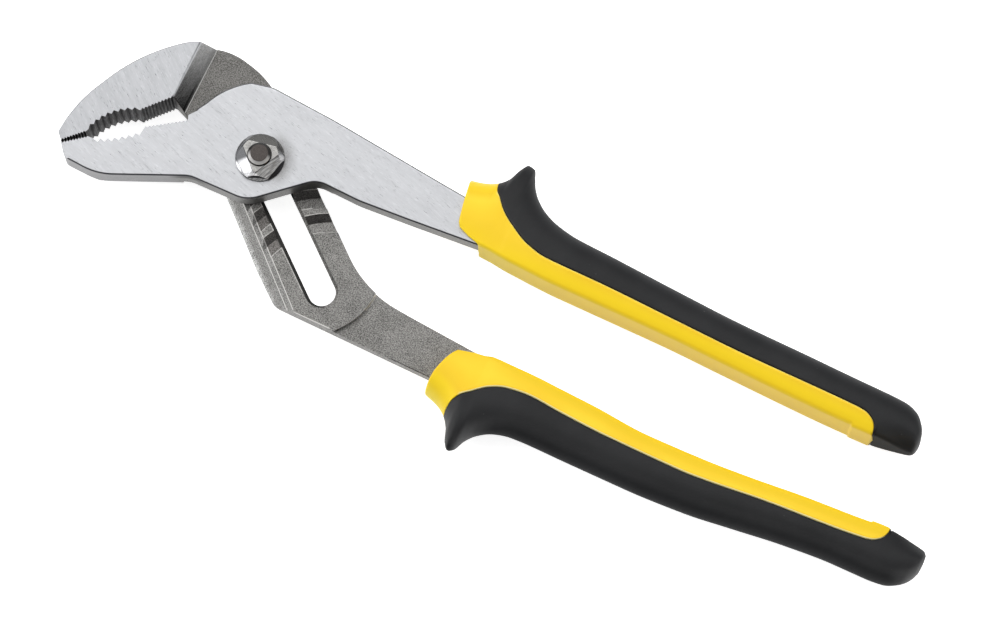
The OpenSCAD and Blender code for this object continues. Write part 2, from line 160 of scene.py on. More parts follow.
# Slotted arm
# One drop forging of chrome steel: upper jaw, long slot, grooved pad and handle end. It is blasted
# all over, the jaw's front face is ground bright, and the teeth are cut and left dark.
def worked_copy(node_name, piece_name, rounding, rounding_share, parted=None, moved=None):
    """A copy of the solid's mesh with its edges broken, each by its own share of the rounding. Where
    the direction across a parting line through the hole is given, the level faces are joined up to
    that line first. Where a move is given, it puts each corner in its place."""
    weld = 2e-6
    on_line = 1e-6
    level_angle = 0.001
    edge_degrees = 18
    mesh = bpy.data.meshes.new(piece_name)
    shape = bmesh.new()
    shape.from_mesh(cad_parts[node_name].data)
    bmesh.ops.remove_doubles(shape, verts=shape.verts, dist=weld)
    bmesh.ops.dissolve_degenerate(shape, edges=shape.edges, dist=weld)
    if parted:
        whole = shape.verts[:] + shape.edges[:] + shape.faces[:]
        bmesh.ops.bisect_plane(shape, geom=whole, dist=1e-7, plane_co=(0, 0, 0), plane_no=parted)
        inner = []
        for edge in shape.edges:
            off = max(abs(corner.co.dot(parted)) for corner in edge.verts)
            inside = off > on_line and len(edge.link_faces) == 2
            if inside and edge.calc_face_angle(1) < level_angle:
                inner.append(edge)
        bmesh.ops.dissolve_edges(shape, edges=inner, use_verts=False)
    bmesh.ops.recalc_face_normals(shape, faces=shape.faces)
    share = shape.edges.layers.float.new("bevel_weight_edge")
    for edge in shape.edges:
        angle = math.degrees(edge.calc_face_angle(0)) if len(edge.link_faces) == 2 else 0
        if angle > edge_degrees:
            outward = (edge.link_faces[0].normal + edge.link_faces[1].normal).normalized()
            middle = (edge.verts[0].co + edge.verts[1].co) / 2
            edge[share] = rounding_share(middle, angle, outward)
    if moved:
        for corner in shape.verts:
            corner.co = moved(corner.co)
    shape.to_mesh(mesh)
    shape.free()
    piece = bpy.data.objects.new(piece_name, mesh)
    scene.collection.objects.link(piece)
    broken = piece.modifiers.new("broken_edges", "BEVEL")
    broken.limit_method = "WEIGHT"
    broken.width = rounding
    broken.segments = 4
    broken.use_clamp_overlap = False
    ready = piece.evaluated_get(bpy.context.evaluated_depsgraph_get())
    piece.data = bpy.data.meshes.new_from_object(ready)
    piece.data.name = piece_name
    piece.modifiers.clear()
    shade_evenly(piece.data)
    return piece


def shade_evenly(mesh):
    """Level faces stay level up to their edge, and a rounding runs out into them."""
    level = 0.9995
    level_pull = 1000
    same_run = math.cos(math.radians(23.5))
    faces = [(face.normal.copy(), face.area, abs(face.normal.z) > level) for face in mesh.polygons]
    round_corner = [[] for corner in mesh.vertices]
    for face in mesh.polygons:
        face.use_smooth = True
        for corner in face.vertices:
            round_corner[corner].append(faces[face.index])
    normals = [None] * len(mesh.loops)
    for face in mesh.polygons:
        own, _, is_level = faces[face.index]
        for loop in face.loop_indices:
            normals[loop] = own
            if not is_level:
                total = own * 1e-12
                for other, other_size, other_level in round_corner[mesh.loops[loop].vertex_index]:
                    if other.dot(own) > same_run:
                        total += other * other_size * (level_pull if other_level else 1)
                normals[loop] = total.normalized()
    mesh.normals_split_custom_set(normals)


def both(first, *others):
    """Where all of these masks hold."""
    for other in others:
        first = calc("MULTIPLY", first, other)
    return first


def sum_of(start, *parts):
    """A start value plus each part's value times its weight."""
    for value, weight in parts:
        start = put("Math", plain=(value, weight, start), operation="MULTIPLY_ADD").outputs[0]
    return start


def line(value, centre, half):
    """A soft band of this half width about a centre."""
    off = calc("ABSOLUTE", calc("SUBTRACT", value, centre))
    return span(off, half, half * 0.3)


def distance(x, y):
    return calc("SQRT", sum_of(calc("MULTIPLY", x, x), (y, y)))


def vector(kind, first, second):
    return put("VectorMath", plain=(first, second), operation=kind).outputs["Vector"]


def flat(x, y):
    return put("CombineXYZ", {"X": x, "Y": y}).outputs[0]


def split(place):
    return list(put("SeparateXYZ", {"Vector": place}).outputs)


def noise(place, scale=1.0, detail=2.0, rough=0.5):
    traits = {"Vector": place, "Scale": scale, "Detail": detail, "Roughness": rough}
    return put("TexNoise", traits).outputs[0]


def mixed(share, first, second):
    """A blend of two colours, each given as three numbers or as a socket."""
    first, second = [colour if isinstance(colour, bpy.types.NodeSocket) else (*colour, 1)
                     for colour in (first, second)]
    return put("Mix", {0: share, 6: first, 7: second}, data_type="RGBA").outputs[2]


def over(base, mask, colour, strength=1.0):
    """The base colour with another one laid over it where the mask says."""
    if strength < 1.0:
        mask = calc("MULTIPLY", mask, strength)
    return mixed(mask, base, colour)


def effect(name, gives, **takes):
    """A shared group of nodes that takes a place and some sizes and gives plain values."""
    group = bpy.data.node_groups.new(name, "ShaderNodeTree")
    work_on(group)
    group.interface.new_socket(name="Place", in_out="INPUT", socket_type="NodeSocketVector")
    for label, usual in takes.items():
        socket = group.interface.new_socket(name=label, in_out="INPUT", socket_type="NodeSocketFloat")
        socket.default_value = usual
    for label in gives:
        group.interface.new_socket(name=label, in_out="OUTPUT", socket_type="NodeSocketFloat")
    return group, group.nodes.new("NodeGroupInput").outputs, group.nodes.new("NodeGroupOutput").inputs


def use(group, where, **sizes):
    """A shared group put into the material that is being made."""
    return put("Group", {"Place": where, **sizes}, node_tree=group).outputs


def look(name):
    """A new material and its shader, with each point's place and the way its surface faces."""
    material = bpy.data.materials.new(name)
    material.use_nodes = True
    work_on(material.node_tree)
    shader = put("BsdfPrincipled")
    put("OutputMaterial", {"Surface": shader.outputs[0]})
    point = put("TexCoord").outputs
    return material, shader, point["Object"], point["Normal"]


def finished(shader, colour, rough, height, strength, depth, metallic=1.0):
    """Joins the colour, the roughness and the relief of a surface to its shader."""
    bump = put("Bump", {"Strength": strength, "Distance": depth, "Height": height})
    tree.links.new(colour, shader.inputs["Base Color"])
    tree.links.new(rough, shader.inputs["Roughness"])
    tree.links.new(bump.outputs[0], shader.inputs["Normal"])
    shader.inputs["Metallic"].default_value = metallic


# Strokes of the grinding belt: short fine lines that run one way, some bright and some dark.
strokes, given, wanted = effect("belt_strokes", ("Tone", "Height"), Turn=0.0, Length=0.004, Width=0.0002)
turned = put("VectorRotate", {"Vector": given["Place"], "Angle": given["Turn"]}, rotation_type="Z_AXIS")
per_length = calc("DIVIDE", 1.0, given["Length"])
per_width = calc("DIVIDE", 1.0, given["Width"])
stretch = put("CombineXYZ", {"X": per_length, "Y": per_width, "Z": per_length})
drawn = vector("MULTIPLY", turned.outputs[0], stretch.outputs[0])
fine = noise(drawn, rough=0.6)
coarse = noise(drawn, 0.22)
few = span(noise(given["Place"], 420.0), 0.42, 0.60)
dark = both(span(fine, 0.58, 0.72), few)
pale = span(fine, 0.42, 0.28)
tree.links.new(sum_of(0.345, (coarse, 0.25), (pale, 0.25), (dark, -0.50)), wanted["Tone"])
tree.links.new(span(fine, 0.30, 0.62), wanted["Height"])

# Blasted skin: tiny craters of the shot, seen as a fine light and dark grain.
grain, given, wanted = effect("blasted_grain", ("Tone", "Height"), Size=0.0004)
per_size = calc("DIVIDE", 1.0, given["Size"])
speck = noise(given["Place"], per_size, 3.0, 0.7)
cloud = noise(given["Place"], calc("MULTIPLY", per_size, 0.06))
pits = put("TexVoronoi", {"Vector": given["Place"], "Scale": calc("MULTIPLY", per_size, 0.8)})
tree.links.new(sum_of(0.0, (speck, 0.88), (cloud, 0.12)), wanted["Tone"])
tree.links.new(sum_of(speck, (pits.outputs[0], 0.5)), wanted["Height"])

# Stray specks: dust and tiny pits, a few round dots of uneven size with bare surface between.
specks, given, wanted = effect("stray_specks", ("Mask",), Gap=0.005, Size=0.03, Few=0.5)
per_gap = calc("DIVIDE", 1.0, given["Gap"])
cell = put("TexVoronoi", {"Vector": given["Place"], "Scale": per_gap}).outputs
pick = put("SeparateColor", {"Color": cell["Color"]}).outputs
reach = calc("MULTIPLY", given["Size"], calc("ADD", 0.3, pick["Green"]))
inside = calc("SUBTRACT", 1.0, calc("DIVIDE", cell["Distance"], reach), clamp=True)
chosen = calc("GREATER_THAN", pick["Red"], given["Few"])
tree.links.new(both(inside, chosen), wanted["Mask"])

# The slot runs down and to the right of the bolt, and the upper jaw's teeth lie along a line.
slot_way = Vector((0.766044, -0.642788, 0))
slot_side = Vector((0.642788, 0.766044, 0))
slot_half = 0.0036
slot_end = 0.040
upper_teeth = Vector((-0.0293, 0.0059, 0))
upper_teeth_out = Vector((-0.681, 0.7325, 0))


def slotted_share(p, angle, outward):
    """Teeth, grooves and recess stay sharp, ridges keep a fine edge, the rest is tumbled round."""
    past_ramp = p.x > -0.026
    above_floors = p.z > 0.0060
    teeth = p.x < -0.0280 and -0.004 < (p - upper_teeth).dot(upper_teeth_out) < 0.0032
    beside_slot = past_ramp and above_floors and abs(p.dot(slot_side)) < 0.0082
    under_boss = above_floors and math.hypot(p.x, p.y) < 0.0222 and p.dot(slot_way) < 0.004
    if teeth or beside_slot or under_boss:
        return 0.0
    ridge = past_ramp and 0.0064 < p.z < 0.0086 and angle < 75
    return 0.25 if ridge else 1.0


def slot_draft(p):
    """The punched slot opens towards the back on the side away from the jaw."""
    along, aside = p.dot(slot_way), p.dot(slot_side)
    reach = aside if along < slot_end else math.hypot(along - slot_end, aside)
    on_wall = aside > 0.0002 and abs(reach - slot_half) < 0.0001 and -0.030 < along < 0.045
    front_push, more_at_back = 0.0003, 0.0004
    front_z, wall_height = 0.00645, 0.00345
    if on_wall and p.z < 0.0066:
        push = front_push + more_at_back * (front_z - p.z) / wall_height
        return p + slot_side * push * aside / slot_half
    return p


slotted_arm = worked_copy("slotted_arm", "slotted_arm_forging", rounding=0.00035,
                          rounding_share=slotted_share, moved=slot_draft)


def cut_steel(where):
    """Cut teeth: dark, with fine upright ridges left by the cutter."""
    ridges = noise(vector("MULTIPLY", where, (4200.0, 4200.0, 260.0)))
    return mixed(span(ridges, 0.40, 0.68), (0.030, 0.030, 0.031), (0.13, 0.128, 0.13))


slotted_look, shader, where, normal = look("forged_steel")
x, y, z = split(where)
facing_z = split(normal)[2]
upward = span(facing_z, 0.2, 0.4)
sloping = span(facing_z, 0.3, 0.5)
down_slot = measured(normal, slot_way)
skin = use(grain, where, Size=0.00030)
belt = use(strokes, where, Turn=math.radians(38), Length=0.0020, Width=0.00022)
dots = use(specks, where, Gap=0.0022, Size=0.07, Few=0.6)["Mask"]
speckle = span(skin["Tone"], 0.36, 0.64)
colour = mixed(speckle, (0.075, 0.074, 0.070), (0.345, 0.338, 0.325))

# Pad: painted shade darkens the grooves' slopes and floors, the long recess and the part behind the boss.
along, aside = measured(where, slot_way), measured(where, slot_side)
leaned = calc("ADD", aside, calc("MULTIPLY", calc("SUBTRACT", along, 0.025), 0.045))
lower_side = span(along, -0.0070, -0.0065)
on_top = both(lower_side, span(z, 0.00835, 0.00842))
slope_shade = both(lower_side, span(down_slot, 0.22, 0.34), span(z, 0.0068, 0.0071), sloping)
floor_shade = both(lower_side, span(z, 0.00745, 0.00735), span(facing_z, 0.9, 0.97),
              span(aside, -0.0040, -0.0052), span(leaned, -0.0084, -0.0082))
recess = both(lower_side, span(z, 0.0078, 0.0068), span(aside, -0.0050, -0.0047),
              span(aside, -0.0005, -0.0010), span(along, 0.0460, 0.0450))
behind = both(span(along, -0.006, -0.010), span(x, -0.0256, -0.0254))
colour = over(colour, slope_shade, mixed(speckle, (0.055, 0.052, 0.050), (0.17, 0.163, 0.157)))
colour = over(colour, floor_shade, mixed(speckle, (0.075, 0.068, 0.064), (0.20, 0.186, 0.178)), 0.7)
colour = over(colour, recess, (0.035, 0.034, 0.033))
colour = over(colour, behind, (0.045, 0.042, 0.038), 0.34)

# The pad's long flank is pale, with a painted highlight along its outer edge.
flank = both(lower_side, span(leaned, -0.0082, -0.0084), upward)
flank_colour = mixed(speckle, (0.095, 0.094, 0.090), (0.38, 0.375, 0.365))
flank_edge_highlight = both(span(leaned, -0.0114, -0.0132), span(skin["Tone"], 0.40, 0.60))
colour = over(colour, flank, over(flank_colour, flank_edge_highlight, (0.70, 0.70, 0.69)))
# The rims of the recess and grooves are worn bright and also carry painted edge highlights.
rim_wear_and_highlight = both(on_top, line(aside, -0.00474, 0.00016), span(along, 0.0385, 0.0375))
groove_step = 0.0075
last_arc = 0.0480
for radius, offset in ((0.02665, -0.00010), (0.02145, 0.00010)):
    bow = calc("SQRT", calc("SUBTRACT", radius * radius, calc("MULTIPLY", aside, aside)))
    arc_place = calc("ADD", along, bow)
    steps = calc("DIVIDE", calc("SUBTRACT", arc_place, groove_step + offset), groove_step)
    off_step = calc("SUBTRACT", calc("FRACT", calc("ADD", steps, 0.5)), 0.5)
    arc = both(on_top, line(off_step, 0.0, 0.024), span(arc_place, last_arc, last_arc - 0.0005))
    rim_wear_and_highlight = calc("MAXIMUM", rim_wear_and_highlight, arc)
wear_and_highlight = both(rim_wear_and_highlight, sum_of(0.38, (speckle, 0.45)))
# The lines along the pad's edge and ridge are worn bright and painted as edge highlights too.
for place, half, last in ((-0.00835, 0.00018, 0.0418), (-0.00982, 0.00016, 0.0500)):
    edge = both(lower_side, line(leaned, place, half), upward, span(along, last, last - 0.0004))
    wear_and_highlight = calc("MAXIMUM", wear_and_highlight, calc("MULTIPLY", edge, 0.85))

# The step at the pad's end and the small bevel along its lower side are painted pale as highlights.
from_end = distance(calc("SUBTRACT", along, 0.030), aside)
end_step_highlight = both(line(from_end, 0.0216, 0.0014), span(facing_z, 0.97, 0.88),
                span(aside, 0.0005, 0.0050), span(down_slot, 0.0, 0.2))
bottom = both(span(x, 0.0254, 0.0258), span(x, 0.0374, 0.0370), span(z, 0.0080, 0.0083), upward)
colour = over(colour, end_step_highlight, (0.60, 0.59, 0.57), 0.85)
colour = over(colour, both(bottom, span(y, -0.03410, -0.03425)), (0.50, 0.50, 0.49), 0.45)
# A dark line of painted shade runs below the bevel, and a painted highlight along its edge.
colour = over(colour, both(bottom, line(y, -0.03448, 0.00016)), (0.05, 0.05, 0.05), 0.7)
wear_and_highlight = calc("MAXIMUM", wear_and_highlight, both(bottom, line(y, -0.03412, 0.00018)))
colour = over(colour, wear_and_highlight, (0.62, 0.61, 0.59))

# Jaw: ground face, streaked ramp down to the pad with a bright line at its foot, and dark teeth.
ramp = both(span(x, -0.0296, -0.0293), span(x, -0.0254, -0.0258), span(z, 0.0084, 0.0087), sloping)
pull = use(strokes, where, Turn=math.radians(96), Length=0.0016, Width=0.00022)
ramp_tone = sum_of(0.0, (span(pull["Tone"], 0.38, 0.64), 0.13), (span(y, 0.004, 0.022), 0.22),
                   (speckle, 0.12))
shade = both(line(x, -0.02615, 0.00030), span(y, 0.015, 0.010), ramp)
foot = both(line(x, -0.02552, 0.00016), span(z, 0.0083, 0.0084), span(z, 0.0093, 0.0090))
ground = both(span(z, 0.01350, 0.01370), span(facing_z, 0.3, 0.8))
bright = mixed(span(belt["Tone"], 0.10, 0.80), (0.30, 0.305, 0.318), (0.565, 0.573, 0.592))
bright = over(bright, dots, (0.22, 0.22, 0.22), 0.5)
# A line of painted dark reflection runs along the ground face's rounded edges.
dark_edge_reflection = both(span(z, 0.0132, 0.0135), span(facing_z, 0.992, 0.96),
                 span(facing_z, 0.05, 0.15), span(x, -0.0290, -0.0300))
near_teeth = measured(vector("SUBTRACT", where, upper_teeth), upper_teeth_out)
cut = both(span(near_teeth, 0.0045, 0.0038), span(x, -0.0275, -0.0290), span(facing_z, 0.5, 0.3))
colour = over(colour, ramp, ramp_tone)
colour = over(colour, shade, (0.02, 0.02, 0.02), 0.8)
colour = over(colour, foot, (0.55, 0.55, 0.54), 0.7)
colour = over(colour, ground, bright)
colour = over(colour, dark_edge_reflection, (0.06, 0.06, 0.066), 0.85)
colour = over(colour, cut, cut_steel(where))
rough = eased(ground, sum_of(0.42, (skin["Tone"], 0.2)), sum_of(0.24, (belt["Tone"], 0.2)))
height = eased(ground, skin["Height"], calc("MULTIPLY", belt["Height"], 0.3))
finished(shader, colour, rough, height, strength=0.35, depth=0.00006)
slotted_arm.data.materials.clear()
slotted_arm.data.materials.append(slotted_look)
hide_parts("slotted_arm")
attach(slotted_arm, "slotted_half")


# Front arm
# The second forging: lower jaw, round boss over the bolt and the upper handle end. Its whole front
# face is ground on a belt along the handle and polished, and the sides keep the forged skin.
lower_teeth = Vector((-0.0229, 0.0014, 0))
lower_teeth_out = Vector((-0.62, 0.785, 0))
parting_across = Vector((-0.5606, 0.8281, 0))
bevel_point = Vector((-0.01743, -0.01369, 0.00764))
bevel_out = Vector((0.352, -0.802, -0.482))


def front_share(p, angle, outward):
    """Teeth, hole, hidden step and under bevel stay sharp, the edges towards the user are less round."""
    around = math.hypot(p.x, p.y)
    teeth = p.x < -0.0222 and -0.0034 < (p - lower_teeth).dot(lower_teeth_out) < 0.004
    hole = around < 0.0045
    hidden_step = around < 0.0240 and p.z < 0.0090
    under_bevel = p.x < -0.0135 and p.y < -0.0110 and p.z < 0.0130
    if teeth or hole or hidden_step or under_bevel:
        return 0.0
    return 0.75 if outward.dot(away) < -0.25 else 1.0


def trimmed_fin(p):
    """A thin fin at the end of the jaw's under bevel is filed off level with the bevel."""
    if p.x > -0.0182 and p.y < -0.0120 and p.z < 0.0031:
        level = bevel_point - p
        return Vector((p.x, p.y, p.z + level.dot(bevel_out) / bevel_out.z))
    return p


front_arm = worked_copy("front_arm", "front_arm_forging", rounding=0.0006,
                        rounding_share=front_share, parted=parting_across, moved=trimmed_fin)
front_look, shader, where, normal = look("polished_steel")
x, y, z = split(where)
facing_y, facing_z = split(normal)[1:]
skin = use(grain, where, Size=0.00030)
belt = use(strokes, where, Turn=math.radians(13), Length=0.0020, Width=0.00022)
rub = use(strokes, where, Turn=math.radians(22), Length=0.005, Width=0.0005)
dots = use(specks, where, Gap=0.0022, Size=0.07, Few=0.65)["Mask"]
ground = both(span(z, 0.01355, 0.01385), span(facing_z, 0.5, 0.9))
belt_tone = sum_of(0.0, (belt["Tone"], 0.7), (rub["Tone"], 0.3))
bright = mixed(span(belt_tone, 0.10, 0.80), (0.36, 0.365, 0.380), (0.64, 0.648, 0.668))
bright = over(bright, dots, (0.24, 0.24, 0.24), 0.5)

# A film of oil and dust beside the nut, thickest to its right, with the nut's painted shadow laid in it.
from_nut = distance(x, y)
to_right = calc("DIVIDE", measured(where, (0.94, 0.34, 0)), calc("MAXIMUM", from_nut, 0.001))
nut_shadow_and_oil = both(span(from_nut, 0.0108, 0.0066), span(to_right, 0.15, 0.95),
            sum_of(0.45, (span(skin["Tone"], 0.35, 0.65), 0.4)))
bright = over(bright, nut_shadow_and_oil, (0.17, 0.165, 0.16))

# Sides: forged skin, with the jaw's underside painted lighter as a painted reflection of the white card,
# painted shade in a hollow beside it, a painted dark reflection along the broken edges, and dark teeth.
speckle = span(skin["Tone"], 0.34, 0.66)
under = both(span(x, -0.0165, -0.0215), span(y, -0.010, -0.012))
hollow = both(line(x, -0.0150, 0.0060), span(z, 0.0112, 0.0124), span(y, -0.008, -0.010))
dark_edge_reflection = both(span(z, 0.0131, 0.0134), span(facing_z, 0.992, 0.96), span(facing_z, 0.05, 0.15))
near_teeth = measured(vector("SUBTRACT", where, lower_teeth), lower_teeth_out)
cut = both(span(near_teeth, -0.0042, -0.0036), span(x, -0.0215, -0.0228),
           span(facing_z, 0.5, 0.3), span(facing_y, -0.5, -0.1))
colour = mixed(speckle, (0.115, 0.114, 0.112), (0.25, 0.248, 0.243))
colour = over(colour, under, mixed(speckle, (0.185, 0.185, 0.19), (0.255, 0.255, 0.26)))
colour = over(colour, hollow, (0.03, 0.03, 0.03), 0.85)
colour = over(colour, ground, bright)
colour = over(colour, dark_edge_reflection, (0.05, 0.05, 0.056), 0.85)
colour = over(colour, cut, cut_steel(where))
rough = eased(ground, sum_of(0.36, (skin["Tone"], 0.2)), sum_of(0.22, (belt_tone, 0.22)))
height = eased(ground, skin["Height"], calc("MULTIPLY", belt["Height"], 0.3))
finished(shader, colour, rough, height, strength=0.35, depth=0.00006)
front_arm.data.materials.clear()
front_arm.data.materials.append(front_look)
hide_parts("front_arm")
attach(front_arm, "front_half")


# Pivot bolt
# A turned steel bolt with a flat head behind the slot and a chamfered end, dulled by oil.
pivot_bolt = worked_copy("pivot_bolt", "pivot_bolt_turned", rounding=0.00012,
                         rounding_share=lambda p, angle, outward: 1.0, parted=Vector((1, 0, 0)))
bolt_look, shader, where, normal = look("bolt_steel")
x, y, z = split(where)
facing_z = split(normal)[2]
skin = use(grain, where, Size=0.0003)
from_axis = distance(x, y)
rings = noise(flat(calc("MULTIPLY", from_axis, 9000.0), calc("MULTIPLY", z, 3000.0)))
oily = sum_of(0.0, (rings, 0.5), (skin["Tone"], 0.5))
# The chamfer carries a painted highlight on its side towards -Y, and the bolt's side at the nut's mouth is
# painted dark as shade.
chamfer = both(line(facing_z, 0.7, 0.28), span(z, 0.0172, 0.0177))
chamfer_highlight_side = span(measured(where, (0.15, -0.99, 0)), -0.0006, 0.0016)
thread_shade = both(span(facing_z, 0.42, 0.30), span(z, 0.0160, 0.0163))
colour = mixed(span(oily, 0.35, 0.65), (0.050, 0.044, 0.041), (0.105, 0.093, 0.088))
colour = over(colour, chamfer, mixed(chamfer_highlight_side, (0.025, 0.024, 0.023), (0.52, 0.51, 0.50)))
colour = over(colour, thread_shade, (0.02, 0.02, 0.02))
finished(shader, colour, sum_of(0.3, (oily, 0.2)), oily, strength=0.3, depth=0.00003)
pivot_bolt.data.materials.clear()
pivot_bolt.data.materials.append(bolt_look)
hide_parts("pivot_bolt")
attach(pivot_bolt, "pivot")


# Pivot nut
# A bright plated lock nut: hexagon with a round foot and a cone on top that is pressed in on three
# sides, so that it grips the bolt's thread. Its sizes are in mm.
nut_foot = 14.05
nut_top = 17.2
nut_reach = 6.75
nut_bore = 3.06
nut_mouth = nut_bore + 0.30
nut_sink = 0.8
nut_break = 0.12
nut_shoulder = nut_reach - nut_break
nut_turn = math.radians(50)
half_flats, flats_foot, flats_slope = 6.05, 15.2, 5
cone_from, cone_slope = 5.15, 0.75
corner_from, corner_top, corner_slope = 5.6, 16.6, 1.5
press_from, press_slope = 3.30, 0.75
press_turns = [math.radians(degrees) for degrees in (101, 227, 334)]
washer_from, washer_top, washer_slope = 5.6, 15.15, 0.5
body_ease, press_ease, foot_fillet = 0.06, 0.03, 0.05


def lesser(values, ease):
    """The least of some values, with a rounded change from one to the next."""
    return -ease * math.log(sum(math.exp(-value / ease) for value in values))


def nut_height(r, turn):
    """Height of the nut's skin: top, cone, corners and flats, then the pressed sides, or the foot."""
    cone = nut_top - (r - cone_from) * cone_slope
    corners = corner_top - (r - corner_from) * corner_slope
    flat_turns = [nut_turn + math.radians(60 * k) for k in range(6)]
    flats = [flats_foot + (half_flats - r * math.cos(turn - way)) * flats_slope for way in flat_turns]
    pressed = [nut_top + (press_from - r * math.cos(turn - way)) * press_slope for way in press_turns]
    body = lesser([nut_top, cone, corners] + flats, body_ease)
    body = lesser([body] + pressed, press_ease)
    washer = washer_top - max(0.0, r - washer_from) * washer_slope
    return max(washer, body) + foot_fillet * math.exp(-abs(washer - body) / foot_fillet)


def smooth_piece(shape, name):
    """The finished mesh as a smooth object that keeps its hard corners."""
    bmesh.ops.recalc_face_normals(shape, faces=shape.faces)
    for face in shape.faces:
        face.smooth = True
    mesh = bpy.data.meshes.new(name)
    shape.to_mesh(mesh)
    shape.free()
    mesh.set_sharp_from_angle(angle=math.radians(50))
    piece = bpy.data.objects.new(name, mesh)
    scene.collection.objects.link(piece)
    return piece


nut_ways = 180
nut_steps = 70
reaches = [nut_mouth + (nut_shoulder - nut_mouth) * k / nut_steps for k in range(nut_steps + 1)]
shape = bmesh.new()
columns = []
for k in range(nut_ways):
    turn = 2 * math.pi * k / nut_ways
    column = [(nut_bore, nut_foot), (nut_bore, nut_height(nut_bore, turn) - nut_sink)]
    column += [(r, nut_height(r, turn)) for r in reaches]
    rim_height = column[-1][1]
    column += [(nut_reach - 0.03, rim_height - 0.10), (nut_reach, rim_height - 0.24),
               (nut_reach, nut_foot + nut_break), (nut_shoulder, nut_foot)]
    columns.append([shape.verts.new((r * math.cos(turn) / 1000, r * math.sin(turn) / 1000, z / 1000))
                    for r, z in column])
for here, there in zip(columns, columns[1:] + columns[:1]):
    for i in range(len(here)):
        n = (i + 1) % len(here)
        shape.faces.new((here[i], there[i], there[n], here[n]))
pivot_nut = smooth_piece(shape, "pivot_nut_pressed")

nut_look, shader, where, normal = look("nut_steel")
x, y, z = split(where)
facing_z = split(normal)[2]
skin = use(grain, where, Size=0.0006)
belt = use(strokes, where, Turn=0.4, Length=0.003, Width=0.0003)
from_axis = distance(x, y)
about = calc("ARCTAN2", y, x)
streaks = noise(flat(calc("MULTIPLY", about, 9.0), calc("MULTIPLY", from_axis, 260.0)))
outward = flat(calc("DIVIDE", x, from_axis), calc("DIVIDE", y, from_axis))
colour = mixed(span(streaks, 0.36, 0.66), (0.30, 0.30, 0.305), (0.62, 0.62, 0.63))

# Around its sides it carries painted reflections: dark at the back, dark and bluish on the left, a painted
# highlight at the front, and pale with streaks on the right, where it is also rougher.
back_dark_reflection = span(measured(outward, (-0.19, 0.98, 0)), -0.05, 0.55)
left_dark_reflection = span(measured(outward, (-0.97, -0.24, 0)), 0.75, 0.97)
front_highlight = span(measured(outward, (-0.45, -0.89, 0)), 0.84, 0.98)
pale_reflection = span(measured(outward, (0.85, -0.53, 0)), 0.45, 0.80)
drag = noise(flat(calc("MULTIPLY", measured(where, (0.90, -0.44, 0)), 3200.0),
                  calc("MULTIPLY", measured(where, (0.44, 0.90, 0)), 320.0)))
colour = over(colour, back_dark_reflection, (0.105, 0.104, 0.10))
colour = over(colour, left_dark_reflection, (0.13, 0.132, 0.138))
colour = over(colour, front_highlight, (0.72, 0.72, 0.74))
colour = over(colour, pale_reflection, mixed(span(drag, 0.36, 0.66), (0.36, 0.355, 0.36), (0.80, 0.80, 0.80)))

# The pressed crown is matt with folds in painted shade, and painted shade lies beyond the flat on the
# right, on the steep sides and in the bore.
crown = both(span(facing_z, 0.965, 0.99), span(z, 0.0165, 0.0168))
crown_colour = mixed(span(skin["Tone"], 0.35, 0.65), (0.30, 0.295, 0.285), (0.46, 0.455, 0.44))
colour = over(colour, crown, crown_colour)
for turn in press_turns[1:]:
    pressed_way = measured(where, (math.cos(turn), math.sin(turn), 0))
    fold_shade = both(line(pressed_way, 0.00336, 0.00013), span(from_axis, 0.0056, 0.0052))
    colour = over(colour, fold_shade, (0.02, 0.02, 0.02), 0.85)
shaded = span(measured(where, (0.966, -0.259, 0)), 0.00565, 0.00585)
colour = over(colour, shaded, (0.03, 0.029, 0.032))
colour = over(colour, span(facing_z, 0.55, 0.35), (0.055, 0.054, 0.056))
colour = over(colour, span(from_axis, 0.00342, 0.00334), (0.012, 0.012, 0.012))
rough = sum_of(0.20, (belt["Tone"], 0.14), (pale_reflection, 0.22))
finished(shader, colour, rough, skin["Height"], strength=0.12, depth=0.00003)
pivot_nut.data.materials.append(nut_look)
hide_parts("pivot_nut")
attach(pivot_nut, "pivot")


# Lower grip
# A two-shot moulding on the slotted arm's handle end: a hard yellow core with a collar at the front
# and a flat inner wall, and a soft black cover with a thumb stop, bonded round its outside.
def steady(rows):
    """A smooth curve through rows of (place, values...) that never swings past them."""
    places = [row[0] for row in rows]
    counts = range(len(rows[0]) - 1)
    gaps = [b - a for a, b in zip(places, places[1:])]
    slopes = []
    for c in counts:
        rises = [(rows[i + 1][c + 1] - rows[i][c + 1]) / gaps[i] for i in range(len(gaps))]
        ends = [rises[0]]
        for i in range(1, len(gaps)):
            if rises[i - 1] * rises[i] <= 0:
                ends.append(0.0)
            else:
                w1 = 2 * gaps[i] + gaps[i - 1]
                w2 = gaps[i] + 2 * gaps[i - 1]
                ends.append((w1 + w2) / (w1 / rises[i - 1] + w2 / rises[i]))
        slopes.append(ends + [rises[-1]])

    def at(place):
        i = min(max(bisect_right(places, place) - 1, 0), len(gaps) - 1)
        t = min(max((place - places[i]) / gaps[i], 0.0), 1.0)
        keep = (1 + 2 * t) * (1 - t) ** 2
        lead = t * (1 - t) ** 2 * gaps[i]
        trail = t * t * (t - 1) * gaps[i]
        return [keep * rows[i][c + 1] + (1 - keep) * rows[i + 1][c + 1]
                + lead * slopes[c][i] + trail * slopes[c][i + 1] for c in counts]

    return at


def run_of(points):
    """Length along a row of points, from the first one up to each."""
    run = [0.0]
    for a, b in zip(points, points[1:]):
        run.append(run[-1] + math.dist(a, b))
    return run


def smooth(share):
    """Eases from 0 to 1."""
    share = min(max(share, 0.0), 1.0)
    return share * share * (3 - 2 * share)


